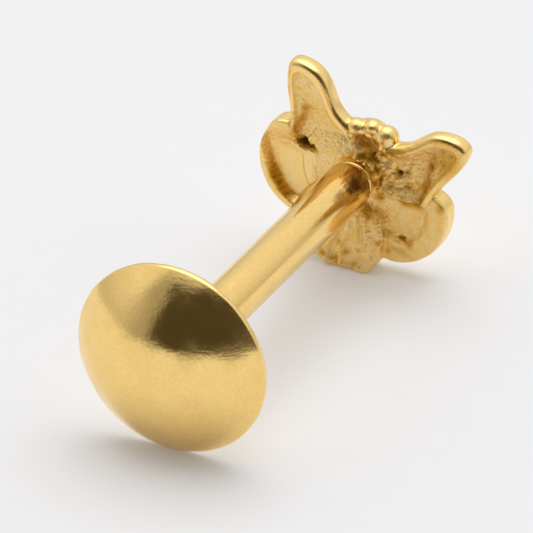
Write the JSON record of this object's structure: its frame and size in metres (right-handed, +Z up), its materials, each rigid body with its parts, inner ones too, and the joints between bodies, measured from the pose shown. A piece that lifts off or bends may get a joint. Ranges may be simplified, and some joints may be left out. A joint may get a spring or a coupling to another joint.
{
  "type": "stud earring",
  "caption": "Butterfly stud earring: hollow-backed butterfly front on a push-in pin, with a domed flat-back disc on a tube post.",
  "frame": {"origin": "centre of the bounding box's base, on the surface that the stud lies on", "axes": "+Z up; +Y along the post, from the domed disc to the butterfly; +X to the right as seen from the disc's end"},
  "size_m": [0.0056, 0.0116, 0.0054],
  "materials": {
    "gold_back": "polished yellow gold alloy",
    "gold_front": "polished yellow gold alloy, as cast in the hollow backs"
  },
  "bodies": {
    "root": {"disc_post": "gold_back", "butterfly_front": "gold_front"}
  },
  "joints": []
}
